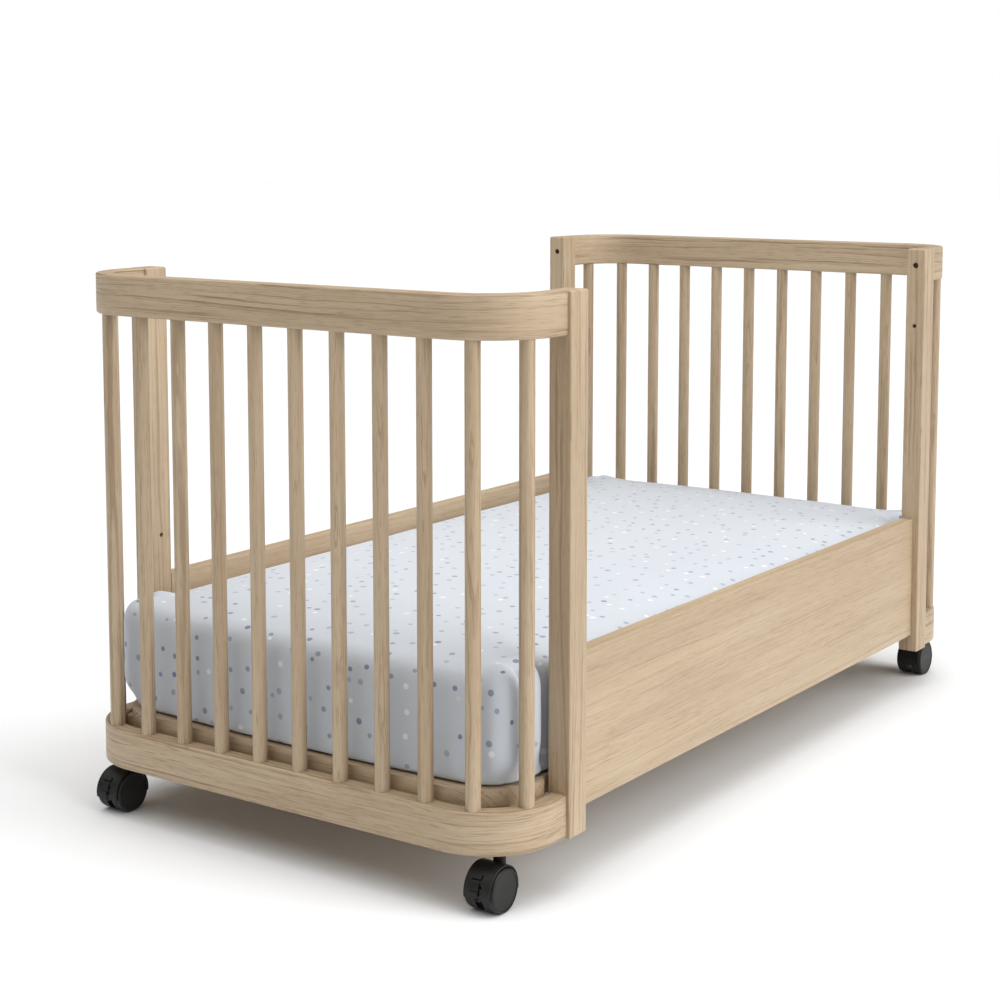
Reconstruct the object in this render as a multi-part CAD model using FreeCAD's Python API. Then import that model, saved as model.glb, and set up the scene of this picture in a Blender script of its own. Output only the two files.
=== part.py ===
import FreeCAD, Part
import math
import os

# Wooden baby crib on four twin-wheel casters, with low side panels and two bent slatted ends.
# Millimetres. +X runs along the bed from the foot end to the head end, +Y from the front side
# to the rear side, +Z up. The origin is on the floor under the middle of the bed.

os.makedirs("parts", exist_ok=True)

# ---- driving dimensions -------------------------------------------------------------------
LENGTH = 1400.0              # over the outer faces of the two bent ends
WIDTH = 760.0                # over the outer faces of the posts
UNDERSIDE = 75.0             # floor to the underside of the bottom rails and posts
FRAME_HEIGHT = 695.0         # underside to the top of the top rails

RAIL_HEIGHT = 56.0
RAIL_THICKNESS = 24.0
RAIL_INSET = 5.0             # rail's outer face behind the post's outer face
BEND_RADIUS = 100.0          # outer radius of each bent corner
EDGE_ROUND = 3.0
LEG_LENGTH = 129.0           # end's outer face to the end of its side legs

POST_LENGTH = 40.0           # along the bed
POST_WIDTH = 33.0            # across the bed
POST_TOP_ROUND = 3.0
POST_ARRIS = 2.0

DOWEL_RADIUS = 10.0
DOWEL_PITCH = 69.0
DOWEL_COUNT = 12
SOCKET_DEPTH = 20.0
GLUE_GAP = 0.05

PANEL_THICKNESS = 22.0
PANEL_INSET = 11.0           # panel's outer face behind the post's outer face
PANEL_BOTTOM = 102.0
PANEL_TOP = {"front": 306.0, "rear": 316.0}
PANEL_EDGE_ROUND = 1.5

BOARD_THICKNESS = 22.0
BOARD_BOTTOM = 126.0
BOARD_END_GAP = 4.0          # board to the inside of the bent rails
BOARD_CORNER = 94.0
BOARD_HALF_WIDTH = 340.0     # between the posts
BOARD_TONGUE_HALF_WIDTH = 345.0
LEDGER = 20.0                # square section of the strips that carry the board
LEDGER_LENGTH = 1000.0
NOTCH_CLEARANCE = 4.0        # board to the posts' outer faces along the bed

MATTRESS_LENGTH = 1311.0
MATTRESS_WIDTH = 686.0
MATTRESS_THICKNESS = 152.0
MATTRESS_CORNER = 62.0
MATTRESS_EDGE = 24.0
MATTRESS_GAP = 0.5

BOLT_RADIUS = 3.0
BOLT_HEAD_RADIUS = 4.8
BOLT_HEAD_LENGTH = 4.0
BOLT_RECESS = 1.5
BOLT_IN_RAIL = 46.0
HEX_KEY_RADIUS = 2.0
PANEL_BOLT_LENGTH = 60.0
PANEL_BOLT_IN_POST = 18.0
PANEL_BOLT_FROM_EDGE = 23.0  # panel's long edges to the bolts
BARREL_NUT_RADIUS = 5.0
BARREL_NUT_LENGTH = 17.0
BARREL_NUT_FROM_END = 32.0   # panel's end to the nut
SCREW_RADIUS = 2.0
LEDGER_SCREW_LENGTH = 36.0
LEDGER_SCREW_PITCH = 225.0
LEDGER_SCREW_COUNT = 5
BOARD_SCREW_LENGTH = 40.0
BOARD_SCREW_FROM_END = 87.0
BOARD_SCREW_FROM_SIDE = 51.0
BLOCK_LEG_X = 101.0          # corner block's legs along the inner faces of the rail
BLOCK_LEG_Y = 116.0
BLOCK_STEP_FROM_END = 45.0    # outside this the block is lower, clear of the board
BLOCK_STEP_TOP = 112.0
SIDE_HOLE_RADIUS = 3.5       # spare holes for a full-height side
SIDE_HOLE_DEPTH = 20.0
SIDE_HOLE_HIGH = 639.0       # on the posts' faces that look along the bed
SIDE_HOLE_LOW = 377.0        # on the posts' faces that look across the bed

CASTER_FROM_END = 57.0
CASTER_FROM_SIDE = 57.0
CASTER_TRAIL = 19.0
WHEEL_RADIUS = 28.5
WHEEL_INNER_FACE = 5.6
WHEEL_OUTER_FACE = 22.5
AXLE_RADIUS = 3.0
RUNNING_GAP = 0.05
HOOD_OUTER_RADIUS = 32.0
HOOD_INNER_RADIUS = 29.6
HOOD_HALF_WIDTH = 20.0
HOOD_LAP = 11.0              # degrees that the hood reaches below the axle's level
HOOD_EDGE_ROUND = 1.0
WEB_HALF_WIDTH = 4.5
WEB_BOTTOM = 19.5
BOSS_RADIUS = 8.0
BOSS_FOOT = 42.0             # buried in the hood's arch
STEM_RADIUS = 4.0
STEM_FOOT = 56.0
STEM_FLANGE = 2.5
STEM_TOP_GAP = 2.0           # socket's closed end to the stem
FLANGE_GAP = 0.3
SOCKET_OUTER_RADIUS = 5.5
SOCKET_LENGTH = 34.0
SOCKET_FLOOR = 1.5
LEVER_SIDES = (-2.5, 9.0)
LEVER_SIDE_GAP = 0.6
LEVER_PIVOT_ANGLE = 150.0    # degrees round the axle from the bed's side of the caster
LEVER_END_ANGLE = 188.0
LEVER_PIVOT_RADIUS = 30.9    # distance of the lever's pivot from the axle
LEVER_BARREL_RADIUS = 1.9
LEVER_RIDGE = (172.0, 180.0)
LEVER_RIDGE_RADIUS = 35.0
LEVER_RIDGE_ROUND = 1.2
TRUNNION_RADIUS = 1.5
TRUNNION_LENGTH = 2.2        # beyond each side of the lever
WHEEL_ROUND = 3.2
WHEEL_RIM = 3.2              # width of the raised rim round the wheel's shallow dish
WHEEL_DISH = 0.8
WHEEL_CAP = 3.5              # solid outer wall that closes the axle's bore
TREAD_GROOVE_FROM_INNER = 7.1
BEYOND = 30.0                # half length of a cutter that passes right through a caster

# ---- derived levels -----------------------------------------------------------------------
HALF_LENGTH = LENGTH / 2
HALF_WIDTH = WIDTH / 2
TOP = UNDERSIDE + FRAME_HEIGHT
TOP_RAIL_BOTTOM = TOP - RAIL_HEIGHT
BOTTOM_RAIL_TOP = UNDERSIDE + RAIL_HEIGHT
POST_OUTER_END = HALF_LENGTH - LEG_LENGTH      # post face that the rail's leg butts against
POST_INNER_END = POST_OUTER_END - POST_LENGTH
RAIL_FACE = HALF_WIDTH - RAIL_INSET
RAIL_LINE = RAIL_FACE - RAIL_THICKNESS / 2
POST_INNER_FACE = HALF_WIDTH - POST_WIDTH
PANEL_FACE = HALF_WIDTH - PANEL_INSET
PANEL_INNER_FACE = PANEL_FACE - PANEL_THICKNESS
BOARD_TOP = BOARD_BOTTOM + BOARD_THICKNESS
AXLE_HEIGHT = WHEEL_RADIUS
Z_AXIS = FreeCAD.Vector(0, 0, 1)
Y_AXIS = FreeCAD.Vector(0, 1, 0)

ENDS = {"foot": -1, "head": 1}
SIDES = {"front": -1, "rear": 1}


def vec(x, y, z=0.0):
    return FreeCAD.Vector(x, y, z)


def box(low, high):
    size = [b - a for a, b in zip(low, high)]
    return Part.makeBox(size[0], size[1], size[2], vec(*low))


def rod(radius, start, direction, length):
    return Part.makeCylinder(radius, length, start, direction)


def rounded_prism(corners, radii, low, high):
    """Upright prism over a convex or notched outline whose corners are rounded."""
    edges = []
    count = len(corners)
    starts = []
    for i in range(count):
        here = vec(*corners[i])
        before = vec(*corners[i - 1])
        after = vec(*corners[(i + 1) % count])
        u = (before - here).normalize()
        v = (after - here).normalize()
        angle = u.getAngle(v)
        setback = radii[i] / math.tan(angle / 2) if radii[i] else 0.0
        a = here + u * setback
        b = here + v * setback
        middle = None
        if radii[i]:
            bisector = (u + v).normalize()
            middle = here + bisector * (radii[i] / math.sin(angle / 2) - radii[i])
        starts.append((a, middle, b))
    for i in range(count):
        a, middle, b = starts[i]
        if middle is not None:
            edges.append(Part.Arc(a, middle, b).toShape())
        edges.append(Part.LineSegment(b, starts[(i + 1) % count][0]).toShape())
    face = Part.Face(Part.Wire(edges))
    solid = face.extrude(vec(0, 0, high - low))
    solid.translate(vec(0, 0, low))
    return solid


def soften(solid, radius, keep):
    """Round the edges whose bounding boxes pass the test."""
    return solid.makeFillet(radius, [edge for edge in solid.Edges if keep(edge.BoundBox)])


# ---- bent ends ----------------------------------------------------------------------------
def bent_rail(end, low):
    """U-shaped rail: a straight run across the bed, two quarter bends and two side legs."""
    sign = ENDS[end]
    leg_end = sign * POST_OUTER_END
    outer_x = sign * HALF_LENGTH
    inner_x = sign * (HALF_LENGTH - RAIL_THICKNESS)
    inner_y = RAIL_FACE - RAIL_THICKNESS
    inner_bend = BEND_RADIUS - RAIL_THICKNESS
    corners = [(leg_end, -RAIL_FACE), (outer_x, -RAIL_FACE), (outer_x, RAIL_FACE), (leg_end, RAIL_FACE),
               (leg_end, inner_y), (inner_x, inner_y), (inner_x, -inner_y), (leg_end, -inner_y)]
    radii = [0, BEND_RADIUS, BEND_RADIUS, 0, 0, inner_bend, inner_bend, 0]
    high = low + RAIL_HEIGHT
    rail = rounded_prism(corners, radii, low, high)

    def long_edge(bounds):
        flat = bounds.ZLength < 0.01
        at_leg_end = abs(bounds.XMin - leg_end) < 0.01 and bounds.XLength < 0.01
        return flat and not at_leg_end
    return soften(rail, EDGE_ROUND, long_edge)


def place_on_rail(end, distance):
    """Point on the rail's centre line, by distance along it from the bed's centre line."""
    sign = ENDS[end]
    bend = BEND_RADIUS - RAIL_THICKNESS / 2
    straight = RAIL_LINE - bend
    side = 1 if distance > 0 else -1
    along = abs(distance)
    if along <= straight:
        return vec(sign * (HALF_LENGTH - RAIL_THICKNESS / 2), distance)
    turn = (along - straight) / bend
    x = HALF_LENGTH - RAIL_THICKNESS / 2 - bend * (1 - math.cos(turn))
    return vec(sign * x, side * (straight + bend * math.sin(turn)))


def dowel_places(end):
    first = -(DOWEL_COUNT - 1) / 2 * DOWEL_PITCH
    return [place_on_rail(end, first + i * DOWEL_PITCH) for i in range(DOWEL_COUNT)]


def dowel_rods(end, radius, low, high):
    return [rod(radius, place + vec(0, 0, low), Z_AXIS, high - low) for place in dowel_places(end)]


def post(end, side):
    """Upright post, square to the bed, with softly rounded arrises and top."""
    x_range = sorted([ENDS[end] * POST_OUTER_END, ENDS[end] * POST_INNER_END])
    y_range = sorted([SIDES[side] * HALF_WIDTH, SIDES[side] * POST_INNER_FACE])
    solid = box((x_range[0], y_range[0], UNDERSIDE), (x_range[1], y_range[1], TOP))
    solid = soften(solid, POST_ARRIS, lambda bounds: bounds.ZLength > POST_WIDTH)
    return soften(solid, POST_TOP_ROUND, lambda bounds: bounds.ZMin > TOP - 0.01)


def rail_bolt_lines():
    """Where each rail bolt starts on the post's inner face, and the way it points."""
    lines = []
    for sign in ENDS.values():
        for y_sign in SIDES.values():
            for height in (UNDERSIDE + RAIL_HEIGHT / 2, TOP - RAIL_HEIGHT / 2):
                start = vec(sign * POST_INNER_END, y_sign * RAIL_LINE, height)
                lines.append((start, vec(sign, 0, 0)))
    return lines


def rail_bolt(start, direction):
    head = rod(BOLT_HEAD_RADIUS, start + direction * BOLT_RECESS, direction, BOLT_HEAD_LENGTH)
    shaft_length = POST_LENGTH + BOLT_IN_RAIL - BOLT_RECESS
    shaft = rod(BOLT_RADIUS, start + direction * BOLT_RECESS, direction, shaft_length)
    key = rod(HEX_KEY_RADIUS, start + direction * BOLT_RECESS, direction, BOLT_HEAD_LENGTH / 2)
    return head.fuse(shaft).removeSplitter().cut(key)


def rail_bolt_hole(start, direction):
    depth = BOLT_RECESS + BOLT_HEAD_LENGTH
    head = rod(BOLT_HEAD_RADIUS + GLUE_GAP, start - direction, direction, depth + 1)
    shaft = rod(BOLT_RADIUS + GLUE_GAP, start, direction, POST_LENGTH + BOLT_IN_RAIL + 1)
    return head.fuse(shaft)


def side_holes():
    """Spare holes in the posts that take the pegs of a full-height side."""
    holes = []
    middle_x = POST_INNER_END + POST_LENGTH / 2
    for sign in ENDS.values():
        for y_sign in SIDES.values():
            start = vec(sign * POST_INNER_END, y_sign * RAIL_LINE, SIDE_HOLE_HIGH)
            holes.append(rod(SIDE_HOLE_RADIUS, start, vec(sign, 0, 0), SIDE_HOLE_DEPTH))
            start = vec(sign * middle_x, y_sign * POST_INNER_FACE, SIDE_HOLE_LOW)
            holes.append(rod(SIDE_HOLE_RADIUS, start, vec(0, y_sign, 0), SIDE_HOLE_DEPTH))
    return holes


# ---- sides and base -----------------------------------------------------------------------
def panel(side):
    y_range = sorted([SIDES[side] * PANEL_FACE, SIDES[side] * PANEL_INNER_FACE])
    solid = box((-POST_INNER_END, y_range[0], PANEL_BOTTOM), (POST_INNER_END, y_range[1], PANEL_TOP[side]))
    return soften(solid, PANEL_EDGE_ROUND, lambda bounds: bounds.XLength > LEDGER)


def panel_joint_places():
    """Point on the panel's end face at each hidden bolt, with the way into the panel and its side."""
    places = []
    for sign in ENDS.values():
        for side, y_sign in SIDES.items():
            for height in (PANEL_BOTTOM + PANEL_BOLT_FROM_EDGE, PANEL_TOP[side] - PANEL_BOLT_FROM_EDGE):
                y = y_sign * (PANEL_FACE - PANEL_THICKNESS / 2)
                places.append((vec(sign * POST_INNER_END, y, height), vec(-sign, 0, 0), y_sign))
    return places


def panel_bolt(place, inward):
    return rod(BOLT_RADIUS, place - inward * PANEL_BOLT_IN_POST, inward, PANEL_BOLT_LENGTH)


def barrel_nut(place, inward, y_sign):
    """Cross dowel let into the panel's inner face, which the bolt screws into."""
    centre = place + inward * BARREL_NUT_FROM_END
    mouth = vec(centre.x, y_sign * PANEL_INNER_FACE, centre.z)
    return rod(BARREL_NUT_RADIUS, mouth, vec(0, y_sign, 0), BARREL_NUT_LENGTH)


def base_board():
    """Board with round-cornered tongues that reach into the bent ends, notched round the posts."""
    reach = HALF_LENGTH - RAIL_THICKNESS - BOARD_END_GAP
    step = POST_OUTER_END + NOTCH_CLEARANCE
    tongue = BOARD_TONGUE_HALF_WIDTH
    waist = BOARD_HALF_WIDTH
    corners = [(-reach, -tongue), (-step, -tongue), (-step, -waist), (step, -waist),
               (step, -tongue), (reach, -tongue), (reach, tongue), (step, tongue),
               (step, waist), (-step, waist), (-step, tongue), (-reach, tongue)]
    radii = [BOARD_CORNER, 1, 0, 0, 1, BOARD_CORNER, BOARD_CORNER, 1, 0, 0, 1, BOARD_CORNER]
    return rounded_prism(corners, radii, BOARD_BOTTOM, BOARD_TOP)


def ledger(side):
    y_range = sorted([SIDES[side] * PANEL_INNER_FACE, SIDES[side] * (PANEL_INNER_FACE - LEDGER)])
    low = (-LEDGER_LENGTH / 2, y_range[0], BOARD_BOTTOM - LEDGER)
    high = (LEDGER_LENGTH / 2, y_range[1], BOARD_BOTTOM)
    solid = box(low, high)
    return soften(solid, PANEL_EDGE_ROUND, lambda bounds: bounds.XLength > LEDGER)


def ledger_screw_lines():
    lines = []
    for y_sign in SIDES.values():
        for i in range(LEDGER_SCREW_COUNT):
            x = (i - (LEDGER_SCREW_COUNT - 1) / 2) * LEDGER_SCREW_PITCH
            start = vec(x, y_sign * (PANEL_INNER_FACE - LEDGER), BOARD_BOTTOM - LEDGER / 2)
            lines.append((start, vec(0, y_sign, 0)))
    return lines


def countersunk_screw(start, direction, length):
    """Screw whose flat head lies flush with the surface that it starts from."""
    head = Part.makeCone(2 * SCREW_RADIUS, SCREW_RADIUS, SCREW_RADIUS, start, direction)
    shaft = rod(SCREW_RADIUS, start, direction, length)
    return head.fuse(shaft).removeSplitter()


def board_screw_lines():
    lines = []
    for sign in ENDS.values():
        for y_sign in SIDES.values():
            x = sign * (HALF_LENGTH - BOARD_SCREW_FROM_END)
            y = y_sign * (HALF_WIDTH - BOARD_SCREW_FROM_SIDE)
            lines.append((vec(x, y, BOARD_TOP), vec(0, 0, -1)))
    return lines


def corner_block(end, side):
    """Block in the bend of the bottom rail: it carries the board and holds the caster's socket."""
    x_sign = ENDS[end]
    y_sign = SIDES[side]
    x_face = HALF_LENGTH - RAIL_THICKNESS
    y_face = RAIL_FACE - RAIL_THICKNESS
    bend = BEND_RADIUS - RAIL_THICKNESS
    corners = [(x_sign * x_face, y_sign * (y_face - BLOCK_LEG_Y)), (x_sign * x_face, y_sign * y_face),
               (x_sign * (x_face - BLOCK_LEG_X), y_sign * y_face)]
    block = rounded_prism(corners, [0, bend, 0], UNDERSIDE, BOARD_BOTTOM)
    x_range = sorted([x_sign * (x_face - BLOCK_STEP_FROM_END), x_sign * HALF_LENGTH])
    low = (x_range[0], -HALF_WIDTH, BLOCK_STEP_TOP)
    high = (x_range[1], HALF_WIDTH, BOARD_BOTTOM)
    return block.cut(box(low, high))


def mattress():
    low = BOARD_TOP + MATTRESS_GAP
    x = MATTRESS_LENGTH / 2
    y = MATTRESS_WIDTH / 2
    corners = [(-x, -y), (x, -y), (x, y), (-x, y)]
    solid = rounded_prism(corners, [MATTRESS_CORNER] * 4, low, low + MATTRESS_THICKNESS)
    return soften(solid, MATTRESS_EDGE, lambda bounds: bounds.ZLength < 0.01)


# ---- casters, built at the stem's axis with the wheels trailing towards -X -------------------
def polar(radius, degrees):
    """Point round the axle in the caster's middle plane, from the side that faces the bed."""
    angle = math.radians(degrees)
    return vec(-CASTER_TRAIL + radius * math.cos(angle), 0, AXLE_HEIGHT + radius * math.sin(angle))


def ring_sector(inner, outer, start, end, sides):
    """Curved plate round the axle between two angles and two distances across the caster."""
    middle = (start + end) / 2
    edges = [
        Part.Arc(polar(outer, start), polar(outer, middle), polar(outer, end)).toShape(),
        Part.LineSegment(polar(outer, end), polar(inner, end)).toShape(),
        Part.Arc(polar(inner, end), polar(inner, middle), polar(inner, start)).toShape(),
        Part.LineSegment(polar(inner, start), polar(outer, start)).toShape(),
    ]
    face = Part.Face(Part.Wire(edges))
    face.translate(vec(0, sides[0], 0))
    return face.extrude(vec(0, sides[1] - sides[0], 0))


def across_caster(radius, half_length):
    """Rod on the axle's line."""
    return rod(radius, vec(-CASTER_TRAIL, -half_length, AXLE_HEIGHT), Y_AXIS, 2 * half_length)


def lever_pivot():
    return polar(LEVER_PIVOT_RADIUS, LEVER_PIVOT_ANGLE)


def widened(sides, gap):
    return (sides[0] - gap, sides[1] + gap)


def lever_rod(radius, beyond):
    """Rod on the lever's pivot line that reaches past both sides of the lever."""
    sides = widened(LEVER_SIDES, beyond)
    return rod(radius, lever_pivot() + Y_AXIS * sides[0], Y_AXIS, sides[1] - sides[0])


def stepped_slot():
    """Zigzag relief in the hood's tail beside the lever."""
    side = LEVER_SIDES[0]
    outline = [(side, 52.0), (side - 2.6, 51.0), (side - 1.6, 41.5), (side - 5.6, 38.0), (side - 1.9, 37.0),
               (side - 2.4, 29.5), (side, 27.5)]
    behind = -CASTER_TRAIL - HOOD_OUTER_RADIUS - 1
    points = [vec(behind, y, z) for y, z in outline]
    face = Part.Face(Part.makePolygon(points + points[:1]))
    return face.extrude(vec(HOOD_OUTER_RADIUS / 2, 0, 0))


def hood():
    """One moulding: arched cover, web between the wheels and boss that turns on the stem."""
    cover = ring_sector(HOOD_INNER_RADIUS, HOOD_OUTER_RADIUS, -HOOD_LAP, 180 + HOOD_LAP,
                        (-HOOD_HALF_WIDTH, HOOD_HALF_WIDTH))
    cover = soften(cover, HOOD_EDGE_ROUND,
                   lambda bounds: bounds.YLength < 0.01 and bounds.XLength > HOOD_OUTER_RADIUS)
    web = across_caster(HOOD_INNER_RADIUS + 1, WEB_HALF_WIDTH)
    reach = HOOD_OUTER_RADIUS + 1
    web = web.cut(box((-CASTER_TRAIL - reach, -BEYOND, -reach), (-CASTER_TRAIL + reach, BEYOND, WEB_BOTTOM)))
    boss_top = UNDERSIDE - STEM_FLANGE - FLANGE_GAP
    boss = rod(BOSS_RADIUS, vec(0, 0, BOSS_FOOT), Z_AXIS, boss_top - BOSS_FOOT)
    boss = boss.cut(across_caster(HOOD_INNER_RADIUS, BEYOND))
    body = cover.fuse([web, boss]).removeSplitter()
    stem_bore = rod(STEM_RADIUS + RUNNING_GAP, vec(0, 0, STEM_FOOT - 0.5), Z_AXIS, UNDERSIDE - STEM_FOOT)
    slot = ring_sector(HOOD_INNER_RADIUS - 0.8, HOOD_OUTER_RADIUS + 3, LEVER_PIVOT_ANGLE - 6,
                       180 + HOOD_LAP + 3, widened(LEVER_SIDES, LEVER_SIDE_GAP))
    trunnion_bore = lever_rod(TRUNNION_RADIUS + RUNNING_GAP, TRUNNION_LENGTH + 0.3)
    return body.cut([stem_bore, across_caster(AXLE_RADIUS, BEYOND), slot, trunnion_bore, stepped_slot()])


def wheel(sign):
    """Solid disc with a softly rounded rim, a shallow dish outside and a blind axle bore inside."""
    width = WHEEL_OUTER_FACE - WHEEL_INNER_FACE
    start = vec(-CASTER_TRAIL, sign * WHEEL_INNER_FACE, AXLE_HEIGHT)
    direction = vec(0, sign, 0)
    disc = rod(WHEEL_RADIUS, start, direction, width)
    outer = sign * WHEEL_OUTER_FACE
    disc = soften(disc, WHEEL_ROUND, lambda bounds: bounds.YLength < 0.01 and abs(bounds.YMin - outer) < 0.01)
    dish = rod(WHEEL_RADIUS - WHEEL_RIM, vec(-CASTER_TRAIL, outer, AXLE_HEIGHT), -direction, WHEEL_DISH)
    groove = Part.makeTorus(WHEEL_RADIUS + 0.9, 1.6, start + direction * TREAD_GROOVE_FROM_INNER, direction)
    bore = rod(AXLE_RADIUS + RUNNING_GAP, start, direction, width - WHEEL_CAP)
    return disc.cut([dish, groove, bore])


def axle():
    return across_caster(AXLE_RADIUS, WHEEL_OUTER_FACE - WHEEL_CAP - 0.5)


def brake_lever():
    """Curved pedal let into the hood's tail, with a toe ridge and two short trunnions."""
    plate = ring_sector(HOOD_INNER_RADIUS + 0.2, HOOD_OUTER_RADIUS + 0.6, LEVER_PIVOT_ANGLE + 1,
                        LEVER_END_ANGLE, LEVER_SIDES)
    ridge = ring_sector(HOOD_INNER_RADIUS + 1, LEVER_RIDGE_RADIUS, *LEVER_RIDGE, LEVER_SIDES)
    ridge = soften(ridge, LEVER_RIDGE_ROUND, lambda bounds: bounds.YLength > 1
                   and bounds.XMax < -CASTER_TRAIL - HOOD_OUTER_RADIUS - 2)
    barrel = lever_rod(LEVER_BARREL_RADIUS, 0)
    lever = plate.fuse([ridge, barrel, lever_rod(TRUNNION_RADIUS, TRUNNION_LENGTH)]).removeSplitter()
    return lever.cut(across_caster(WHEEL_RADIUS + 0.5, BEYOND))


def stem():
    """Steel stem with a flange that bears on the underside of the corner block."""
    stem_top = UNDERSIDE + SOCKET_LENGTH - STEM_TOP_GAP
    shaft = rod(STEM_RADIUS, vec(0, 0, STEM_FOOT), Z_AXIS, stem_top - STEM_FOOT)
    flange = rod(BOSS_RADIUS, vec(0, 0, UNDERSIDE - STEM_FLANGE), Z_AXIS, STEM_FLANGE)
    return shaft.fuse(flange).removeSplitter()


def caster_socket():
    sleeve = rod(SOCKET_OUTER_RADIUS, vec(0, 0, UNDERSIDE), Z_AXIS, SOCKET_LENGTH)
    return sleeve.cut(rod(STEM_RADIUS, vec(0, 0, UNDERSIDE), Z_AXIS, SOCKET_LENGTH - SOCKET_FLOOR))


def at_caster(shape, end, side):
    """Set a caster piece under its corner; at the head end the wheels trail towards +X."""
    moved = shape.copy()
    if ENDS[end] > 0:
        moved.rotate(vec(0, 0, 0), Z_AXIS, 180)
    x = ENDS[end] * (HALF_LENGTH - CASTER_FROM_END)
    y = SIDES[side] * (HALF_WIDTH - CASTER_FROM_SIDE)
    moved.translate(vec(x, y, 0))
    return moved


# ---- assembly -----------------------------------------------------------------------------
nodes = {}
bolt_holes = [rail_bolt_hole(start, way) for start, way in rail_bolt_lines()]
panel_bolts = [panel_bolt(place, inward) for place, inward, y_sign in panel_joint_places()]
barrel_nuts = [barrel_nut(place, inward, y_sign) for place, inward, y_sign in panel_joint_places()]
ledger_screws = [countersunk_screw(start, way, LEDGER_SCREW_LENGTH) for start, way in ledger_screw_lines()]
board_screws = [countersunk_screw(start, way, BOARD_SCREW_LENGTH) for start, way in board_screw_lines()]
sockets = [at_caster(caster_socket(), end, side) for end in ENDS for side in SIDES]

for end in ENDS:
    top_rail = bent_rail(end, TOP_RAIL_BOTTOM)
    bottom_rail = bent_rail(end, UNDERSIDE)
    hole_low = BOTTOM_RAIL_TOP - SOCKET_DEPTH
    hole_high = TOP_RAIL_BOTTOM + SOCKET_DEPTH
    sockets_cut = dowel_rods(end, DOWEL_RADIUS + GLUE_GAP, hole_low, hole_high)
    nodes[end + "_top_rail"] = top_rail.cut(sockets_cut + bolt_holes)
    nodes[end + "_bottom_rail"] = bottom_rail.cut(sockets_cut + bolt_holes)
    nodes[end + "_dowels"] = Part.makeCompound(dowel_rods(end, DOWEL_RADIUS, hole_low + 0.2, hole_high - 0.2))

for end in ENDS:
    for side in SIDES:
        corner = end + "_" + side
        nodes[corner + "_post"] = post(end, side).cut(bolt_holes + panel_bolts + side_holes())
        block = corner_block(end, side).cut(board_screws)
        socket_hole = rod(SOCKET_OUTER_RADIUS, vec(0, 0, UNDERSIDE), Z_AXIS, SOCKET_LENGTH)
        nodes[corner + "_corner_block"] = block.cut(at_caster(socket_hole, end, side))

for side in SIDES:
    nodes[side + "_panel"] = panel(side).cut(panel_bolts + barrel_nuts + ledger_screws)
    nodes[side + "_ledger"] = ledger(side).cut(ledger_screws)

nodes["base_board"] = base_board().cut(board_screws)
nodes["mattress"] = mattress()
nodes["rail_bolts"] = Part.makeCompound([rail_bolt(start, way) for start, way in rail_bolt_lines()])
nodes["panel_bolts"] = Part.makeCompound(panel_bolts)
nodes["panel_barrel_nuts"] = Part.makeCompound([nut.cut(panel_bolts) for nut in barrel_nuts])
nodes["ledger_screws"] = Part.makeCompound(ledger_screws)
nodes["base_board_screws"] = Part.makeCompound(board_screws)
nodes["caster_sockets"] = Part.makeCompound(sockets)

caster_pieces = {
    "stem": stem(),
    "hood": hood(),
    "axle": axle(),
    "brake_lever": brake_lever(),
}
for end in ENDS:
    wheels = {"front_wheel": wheel(ENDS[end]), "rear_wheel": wheel(-ENDS[end])}
    for side in SIDES:
        for name, shape in (caster_pieces | wheels).items():
            nodes[end + "_" + side + "_caster_" + name] = at_caster(shape, end, side)

for name, shape in nodes.items():
    solids = shape.Solids
    if not solids or not all(solid.isValid() and solid.Volume > 0 for solid in solids):
        raise ValueError("bad solid in " + name)
    shape.exportStep("parts/" + name + ".step")
print(len(nodes), "nodes")
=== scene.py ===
import math

import bmesh
import bpy
import numpy as np
from mathutils import Matrix, Vector, noise


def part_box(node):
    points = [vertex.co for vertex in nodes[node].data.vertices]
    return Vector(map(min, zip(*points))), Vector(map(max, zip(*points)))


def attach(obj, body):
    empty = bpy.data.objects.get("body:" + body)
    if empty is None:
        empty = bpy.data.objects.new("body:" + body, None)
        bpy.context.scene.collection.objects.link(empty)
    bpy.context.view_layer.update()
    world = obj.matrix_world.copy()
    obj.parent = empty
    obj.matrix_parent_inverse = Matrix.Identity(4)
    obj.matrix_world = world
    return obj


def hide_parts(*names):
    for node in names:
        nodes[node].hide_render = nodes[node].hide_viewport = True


# Wooden baby crib on four twin-wheel casters. Metres, in the frame of the CAD model: +X runs from
# the foot end to the head end, +Y from the front side to the rear side, +Z up.

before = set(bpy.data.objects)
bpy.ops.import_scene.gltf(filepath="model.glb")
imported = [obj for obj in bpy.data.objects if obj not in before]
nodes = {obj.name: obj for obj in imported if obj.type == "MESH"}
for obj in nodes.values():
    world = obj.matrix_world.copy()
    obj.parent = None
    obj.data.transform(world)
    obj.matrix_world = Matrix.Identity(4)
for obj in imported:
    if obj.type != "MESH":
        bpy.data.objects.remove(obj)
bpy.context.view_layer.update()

# ---- driving dimensions -------------------------------------------------------------------
TINY = 1e-9                  # keeps a division from failing

CAMERA_PLACE = (-2.5645, -1.6645, 0.9522)
CAMERA_HEADING = 34.913      # degrees from +X towards +Y
CAMERA_PITCH = 6.158         # degrees below the horizon
CAMERA_LENS = 69.83          # millimetres
SENSOR_WIDTH = 36.0          # millimetres
CAMERA_SHIFT = -0.15

RAIL_THICKNESS = 0.024
BEND_RADIUS = 0.100          # outer radius of the bent rails

FLOOR_REACH = 30.0

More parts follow.
